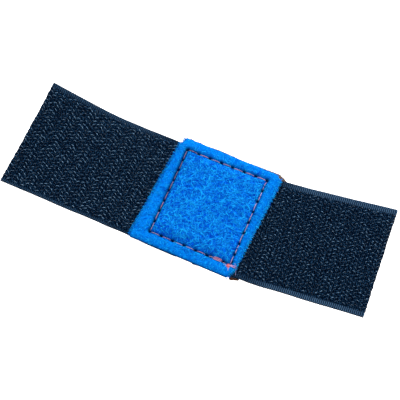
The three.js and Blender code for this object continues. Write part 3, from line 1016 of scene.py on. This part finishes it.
STRANDS = (
    ("felt", felt_strands, FELT_STEPS),
    ("brushed", brushed_strands, BRUSHED_STEPS),
    ("edge", edge_strands, EDGE_STEPS),
)


def patch_strands(patch, material):
    height = surface_height(patch)
    pieces = []
    for name, grow, steps in STRANDS:
        vertices, faces = grow(height)
        strands = make_object(f"loop_patch_{name}", vertices, faces, material)
        count = len(vertices) // (steps * STRAND_SIDES)
        tint = rng.uniform(0, 1, (count, 1)) + rng.normal(0, TINT_SPREAD, (1, steps))
        tint = tint + rng.normal(0, TINT_SPREAD, tint.shape)
        store(strands, "tint", np.repeat(tint.clip(0, 1), STRAND_SIDES))
        store(strands, "sunk_shade", np.maximum(seam_shade_share(vertices), 0.7 * edge_shade(vertices)))
        pieces.append(strands)
    return pieces


# --- backing ---

def backing_patch(material):
    outline = outline_of("backing_patch")
    low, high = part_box("backing_patch")
    backing = sheet("backing_cloth", outline, BACKING_CELL, high.z)
    points = coordinates(backing)
    edge = distance_to_loop(points, outline)
    rim = 1 - smoothstep(0, 0.5 * MM, edge)
    x, y, z = points.T
    fray = rim * 0.14 * MM * value_noise(x, y, 0.6 * MM, 21)
    points[:, :2] += fray[:, None] * unit(points[:, :2])
    z -= 0.15 * MM * rim
    near = 1 - smoothstep(low.y, low.y + 3 * MM, y)
    near *= 1 - step_at(BACKING_SHOWS_NEAR, 0.8 * MM, x)
    far = smoothstep(high.y - 3 * MM, high.y, y)
    far *= 1 - step_at(BACKING_SHOWS_FAR, 4 * MM, x)
    drawn_in = BACKING_FAR_TUCK * (1 + value_noise(x, 0 * x, 2.2 * MM, 23))
    y += BACKING_TUCK * near - drawn_in * far
    set_coordinates(backing, points)
    dent = 0.45 * MM * np.exp(-((distance_to_seam(points) / (0.5 * MM)) ** 2))
    points = close_below(backing, material, low.z + 0.04 * MM + dent, 0.08 * MM, 0.04 * MM)
    # Painted shade along the backing's near edge.
    store(backing, "backing_shade", 1 - smoothstep(low.y + 0.5 * MM, low.y + 2.5 * MM, points[:, 1]))
    return backing


# --- thread ---

def smooth_curve(points, step=0.15 * MM):
    """Evenly spaced points along a Catmull-Rom curve through the given ones."""
    points = np.asarray(points, float)
    padded = np.vstack([2 * points[0] - points[1], points, 2 * points[-1] - points[-2]])
    t = np.linspace(0, 1, 12, endpoint=False)[:, None]
    fine = []
    for before, here, there, beyond in zip(padded, padded[1:], padded[2:], padded[3:]):
        bend = (2 * before - 5 * here + 4 * there - beyond) * t ** 2
        twist = (3 * here - before - 3 * there + beyond) * t ** 3
        fine.append((2 * here + (there - before) * t + bend + twist) / 2)
    fine = np.vstack([*fine, points[-1:]])
    length = path_length(fine)
    even = np.linspace(0, length[-1], max(4, round(length[-1] / step)))
    return np.stack([np.interp(even, length, fine[:, axis]) for axis in range(3)], 1)


def path_length(path):
    return np.concatenate([[0], np.cumsum(np.linalg.norm(np.diff(path, axis=0), axis=1))])


def twisted(path):
    """Three plies twisted round a path of (steps, 3)."""
    tangent = unit(np.gradient(path, axis=0))
    side = unit(np.cross(tangent, (0.02, 0.03, 1)))
    up = np.cross(side, tangent)
    turn = rng.uniform(0, 2 * math.pi) + 2 * math.pi * path_length(path) / TWIST_PITCH
    angles = turn + np.arange(3)[:, None] * 2 * math.pi / 3
    circle = np.cos(angles)[..., None] * side + np.sin(angles)[..., None] * up
    return tubes(path + (THREAD_RADIUS - PLY_RADIUS) * circle, PLY_RADIUS, 6)


def stitch(start, end, level, side, sink=0.8 * MM):
    """One stitch's path, out of a hole at start, over the cloth at a level, into one at end."""
    run = end - start
    across = np.array([-run[1], run[0]]) / np.linalg.norm(run)
    share = np.array([0.02, 0.09, 0.17, 0.27, 0.4, 0.6, 0.73, 0.83, 0.91, 0.98])
    arch = np.array([-1, -0.8, -0.3, 0.02, 0.1, 0.1, 0.02, -0.3, -0.8, -1])
    flat = start + run * share[:, None] + across * (side * np.sin(math.pi * share))[:, None]
    return np.column_stack([flat, level + np.where(arch < 0, arch * sink, arch * MM)])


def thread_piece(name, paths, material, lavender_share=0.0, shaded=0.0):
    """One object from many thread paths, each with its share of pale lavender and of painted shade."""
    parts = [twisted(smooth_curve(path)) for path in paths]
    vertices, faces = join_parts(parts)
    piece = make_object(name, vertices, faces, material)

    def per_vertex(shares):
        return np.repeat(np.broadcast_to(shares, len(parts)), [len(part[0]) for part in parts])

    # Painted shade grows as the thread goes 0.2 to 0.55 mm from its path's middle height, down into the
    # holes.
    sunk_shade = np.abs(vertices[:, 2] - per_vertex([path[len(path) // 2][2] for path in paths]))
    store(piece, "cloth_mm", vertices / MM)
    store(piece, "lavender_share", per_vertex(lavender_share))
    store(piece, "thread_shade", np.maximum(smoothstep(0.2 * MM, 0.55 * MM, sunk_shade), per_vertex(shaded)))
    return piece


def needle_stitches(patch, material):
    """The coral stitches on the loop side, each pulled into its channel."""
    middles = (HOLES + NEXT_HOLES) / 2
    levels = surface_height(patch)(middles) + THREAD_RADIUS
    sides = rng.normal(0, 0.13 * MM, len(HOLES))
    paths = [stitch(*ends) for ends in zip(HOLES, NEXT_HOLES, levels, sides)]
    # Each stitch's random share of painted shade, more along the patch's left side.
    shaded = rng.uniform(0, 0.3, len(HOLES)) + 0.45 * left_side_share(middles)
    return thread_piece("needle_stitches", paths, material, rng.uniform(0.6, 1, len(HOLES)), shaded)


def bobbin_stitches(material):
    """The same seam seen from below."""
    low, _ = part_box("bobbin_thread")
    sides = rng.normal(0, 0.1 * MM, len(HOLES))
    paths = [stitch(a, b, 0, side) for a, b, side in zip(HOLES, NEXT_HOLES, sides)]
    for path in paths:
        path[:, 2] = low.z + THREAD_RADIUS + 0.03 * MM + 0.6 * np.maximum(0, -path[:, 2])
    return thread_piece("bobbin_stitches", paths, material)


def corner_tack(patch, material):
    """The seam's start and end, sewn over each other: a doubled stitch and a star."""
    corner = HOLES[0]
    level = surface_height(patch)([corner + (-0.9 * MM, -0.9 * MM)])[0]
    paths, lavender_share = [], []
    for aside in DOUBLED_ASIDE:
        start, end = (corner + (along, aside) for along in DOUBLED_STITCH)
        paths.append(stitch(start, end, level + 0.1 * MM, 0.2 * aside))
        lavender_share.append(rng.uniform(0.3, 0.9))
    strokes = [(heading, ARM_START, reach * MM, ARM_LAVENDER) for heading, reach in STAR_ARMS]
    strokes += [(heading, KNOT_REACH, KNOT_REACH, KNOT_LAVENDER) for heading in KNOT_HEADINGS]
    for heading, behind, ahead, lavender_mix in strokes:
        angle = math.radians(heading)
        direction = np.array([math.cos(angle), math.sin(angle)])
        middle = corner + STAR_MIDDLE + rng.normal(0, TACK_DISORDER, 2)
        ends = (middle - behind * direction, middle + ahead * direction)
        height = level + rng.uniform(0.15, 0.3) * MM + (ARM_LAVENDER - lavender_mix) * 0.3 * MM
        paths.append(stitch(*ends, height, rng.normal(0, TACK_DISORDER), sink=0.35 * MM))
        lavender_share.append(lavender_mix)
    return thread_piece("corner_tack_stitches", paths, material, lavender_share)


def thread_end(material):
    """The cut thread end, hanging from the tack over the patch's edge."""
    _, corner_y = HOLES[0]
    tape_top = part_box("right_tape_sewn_end")[1].z
    path = smooth_curve([
        (*(HOLES[0] + (1.6 * MM, 0.9 * MM)), PILE_HIGH.z),
        (PILE_HIGH.x - 0.3 * MM, corner_y + 0.9 * MM, PILE_HIGH.z),
        *((PILE_HIGH.x + x * MM, corner_y + y * MM, tape_top + z * MM) for x, y, z in THREAD_END_DROP),
    ])
    vertices, faces = tubes(path[None], PLY_RADIUS, 6)
    piece = make_object("thread_end", vertices, faces, material)
    store(piece, "cloth_mm", vertices / MM)
    store(piece, "lavender_share", np.ones(len(vertices)))
    # The cut end is painted in partial shade.
    store(piece, "thread_shade", np.full(len(vertices), 0.4))
    return piece


# --- stage ---

CAMERA_AZIMUTH = 25.58
CAMERA_ELEVATION = 60.56
CAMERA_DISTANCE = 0.802
CAMERA_LENS = 171.26
CAMERA_AIM = (-4.38 * MM, 3.2 * MM, 0)
FLOOR_REACH = 3
FLOOR_GAP = 50 * MM
FLOOR_GLOW = 0.8
SKY_LIGHT = 0.92
SKY_REFLECTION = 0.15
# Each lamp: its name, place, size and energy.
LAMPS = (
    ("key", (-0.15, 0.95, 0.75), 0.45, 16.0),
    ("strip", (0.7, 0.35, 0.9), 0.2, 2.0),
)


def aim(thing, place, target):
    """Puts a camera or a lamp at a place, looking at a target."""
    thing.location = place
    thing.rotation_euler = (Vector(target) - Vector(place)).to_track_quat("-Z", "Y").to_euler()
    bpy.context.scene.collection.objects.link(thing)


def build_camera():
    azimuth, elevation = math.radians(CAMERA_AZIMUTH), math.radians(CAMERA_ELEVATION)
    level = math.cos(elevation)
    back = Vector((math.sin(azimuth) * level, -math.cos(azimuth) * level, math.sin(elevation)))
    data = bpy.data.cameras.new("camera")
    data.lens = CAMERA_LENS
    data.clip_start = 0.01
    camera = bpy.data.objects.new("camera", data)
    aim(camera, Vector(CAMERA_AIM) + back * CAMERA_DISTANCE, CAMERA_AIM)
    bpy.context.scene.camera = camera


def build_floor():
    """A white floor, low enough for the wings to curl down. Its glow hides their shadow."""
    paint = Shader("floor_white", roughness=0.9)
    glow = {"Emission Color": (1, 1, 1, 1), "Emission Strength": FLOOR_GLOW}
    paint.set(paint.surface, {"Base Color": srgb(240, 240, 240), **glow})
    level = CAD_BOUNDS[0].z - FLOOR_GAP
    square = [(x * FLOOR_REACH, y * FLOOR_REACH, level) for x, y in ((-1, -1), (1, -1), (1, 1), (-1, 1))]
    make_object("floor", square, [(0, 1, 2, 3)], paint.material)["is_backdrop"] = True


def build_sky():
    """White to the camera, dimmer as light, and dim in reflections so that gloss shows."""
    world = bpy.data.worlds.new("studio")
    bpy.context.scene.world = world
    sky = NodeTree(world)
    ray = sky.node("LightPath", {}).outputs
    dimming = {"Value": ray["Is Glossy Ray"], "To Min": SKY_LIGHT, "To Max": SKY_REFLECTION}
    lighting = sky.node("MapRange", dimming).outputs[0]
    strength = sky.node("Mix", {"Factor": ray["Is Camera Ray"], "A": lighting, "B": 1}).outputs[0]
    sky.set(sky.tree.nodes["Background"], {"Color": (1, 1, 1, 1), "Strength": strength})


def build_lamps():
    for name, place, size, energy in LAMPS:
        lamp = bpy.data.lights.new(name, "AREA")
        lamp.size = size
        lamp.energy = energy
        aim(bpy.data.objects.new(name, lamp), place, CAMERA_AIM)


# --- assembly ---

def build_centre():
    """Shows backing, patch and threads in place of the CAD nodes that they stand for."""
    backing = backing_patch(backing_material())
    patch = loop_patch(pile_material())
    loose = patch_strands(patch, strand_material())
    coral = thread_material()
    pieces = [
        (backing, "backing", "backing_patch"),
        (patch, "loop_pile", "loop_patch_pile", "loop_patch_ground"),
        *((strands, "loop_pile", "loop_patch_pile") for strands in loose),
        (needle_stitches(patch, coral), "thread", "needle_thread"),
        (bobbin_stitches(coral), "thread", "bobbin_thread"),
        (corner_tack(patch, coral), "thread", "corner_tack_thread"),
        (thread_end(coral), "thread", "corner_tack_thread"),
    ]
    for piece, slot, *nodes in pieces:
        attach(piece, "sewn_centre")
        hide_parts(*nodes)


build_wings()
build_centre()
build_camera()
build_floor()
build_sky()
build_lamps()
bpy.context.scene.view_settings.view_transform = "Standard"
